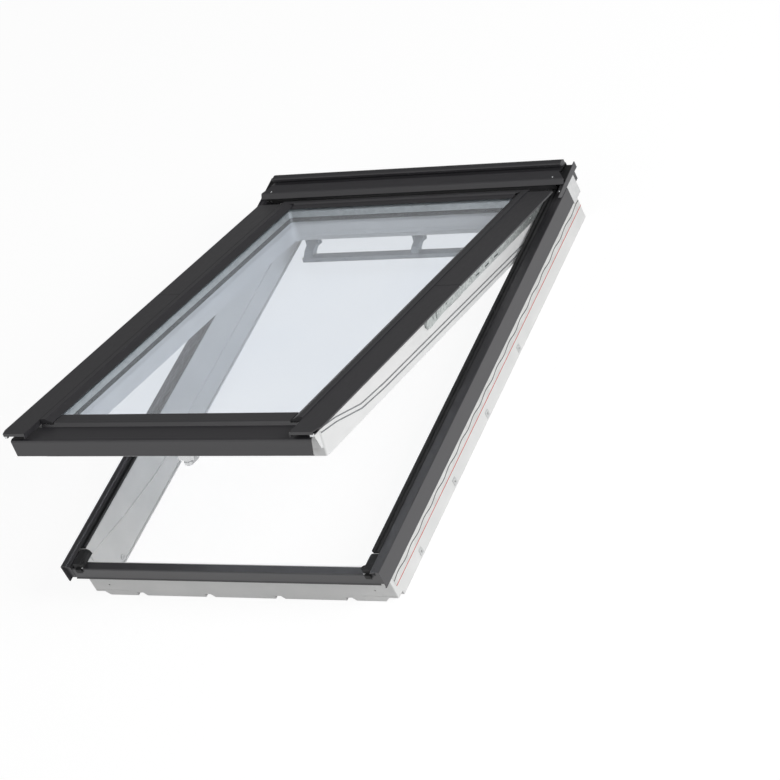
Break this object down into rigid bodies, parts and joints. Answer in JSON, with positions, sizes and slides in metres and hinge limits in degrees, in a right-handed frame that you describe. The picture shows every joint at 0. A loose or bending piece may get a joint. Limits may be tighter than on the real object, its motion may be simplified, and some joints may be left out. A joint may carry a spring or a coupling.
{
  "type": "roof window",
  "caption": "Top-hung roof window that also turns on a centre pivot: white moulded frame and sash, dark sheet cladding, hood, sealed glass, ventilation bar, handle",
  "frame": {"origin": "middle of the whole plan, at the underside of the frame", "axes": "+X across the window, +Y up the roof slope towards the hood, +Z out towards the weather"},
  "size_m": [0.8226, 1.2336, 0.4869],
  "materials": {
    "white_moulding": "satin painted moulding",
    "cladding": "matt painted sheet",
    "black_rubber": "soft matt",
    "grey_rubber": "soft matt",
    "lining_strip": "matt",
    "galvanised_steel": "galvanised",
    "bright_metal": "bright",
    "dark_plastic": "matt",
    "white_plastic": "satin",
    "white_metal": "powder coated",
    "bar_metal": "satin anodised",
    "clear_glass": "clear",
    "spacer_metal": "satin"
  },
  "bodies": {
    "frame": {"outer_frame": "white_moulding", "frame_cover_right": "cladding", "frame_cover_left": "cladding", "frame_bottom_cover": "cladding", "frame_gasket_right": "black_rubber", "frame_gasket_left": "black_rubber", "corner_block_right": "black_rubber", "corner_block_left": "black_rubber", "hood_casing": "cladding", "hood_bead": "cladding", "hood_end_right": "cladding", "hood_end_left": "cladding", "hood_screws": "bright_metal", "hood_foam_right": "black_rubber", "hood_foam_left": "black_rubber", "flange_end_right": "white_moulding", "flange_end_left": "white_moulding", "side_strip_right": "lining_strip", "side_strip_left": "lining_strip", "fixing_hooks": "white_metal", "hinge_bracket_right": "galvanised_steel", "hinge_bracket_left": "galvanised_steel", "keep_plate": "galvanised_steel", "bolt_bush": "white_plastic"},
    "lifting_arms": {"arm_right": "galvanised_steel", "arm_left": "galvanised_steel", "upper_cover_right": "cladding", "upper_cover_left": "cladding"},
    "sash": {"sash_frame": "white_moulding", "outer_pane": "clear_glass", "inner_pane": "clear_glass", "glass_spacer": "spacer_metal", "glass_gasket": "black_rubber", "glazing_bead_right": "cladding", "glazing_bead_left": "cladding", "bottom_cover": "cladding", "top_cover": "cladding", "lower_cover_right": "cladding", "lower_cover_left": "cladding", "nose_caps": "bright_metal", "side_seals_right": "grey_rubber", "side_seals_left": "grey_rubber", "pivot_shoe_right": "dark_plastic", "pivot_shoe_left": "dark_plastic", "handle_base": "white_metal", "vent_hangers": "white_plastic", "vent_flap": "white_plastic"},
    "handle": {"handle_lever": "white_metal"},
    "ventilation": {"vent_bar": "bar_metal"}
  },
  "joints": [
    {"name": "top_hinge", "type": "hinge", "parent": "frame", "child": "lifting_arms", "pos_m": [0, 0.55275, 0.11], "axis": [-1, 0, 0], "range_deg": [-17, 28]},
    {"name": "centre_pivot", "type": "hinge", "parent": "lifting_arms", "child": "sash", "pos_m": [0, 0.08685, 0.27231], "axis": [-1, 0, 0], "range_deg": [0, 125]},
    {"name": "handle_turn", "type": "hinge", "parent": "sash", "child": "handle", "pos_m": [0, -0.51237, 0.36453], "axis": [0, 0.2924, 0.9563], "range_deg": [0, 90]},
    {"name": "ventilation_bar", "type": "hinge", "parent": "sash", "child": "ventilation", "pos_m": [0, 0.47682, 0.06002], "axis": [1, 0, 0], "range_deg": [0, 24]}
  ]
}
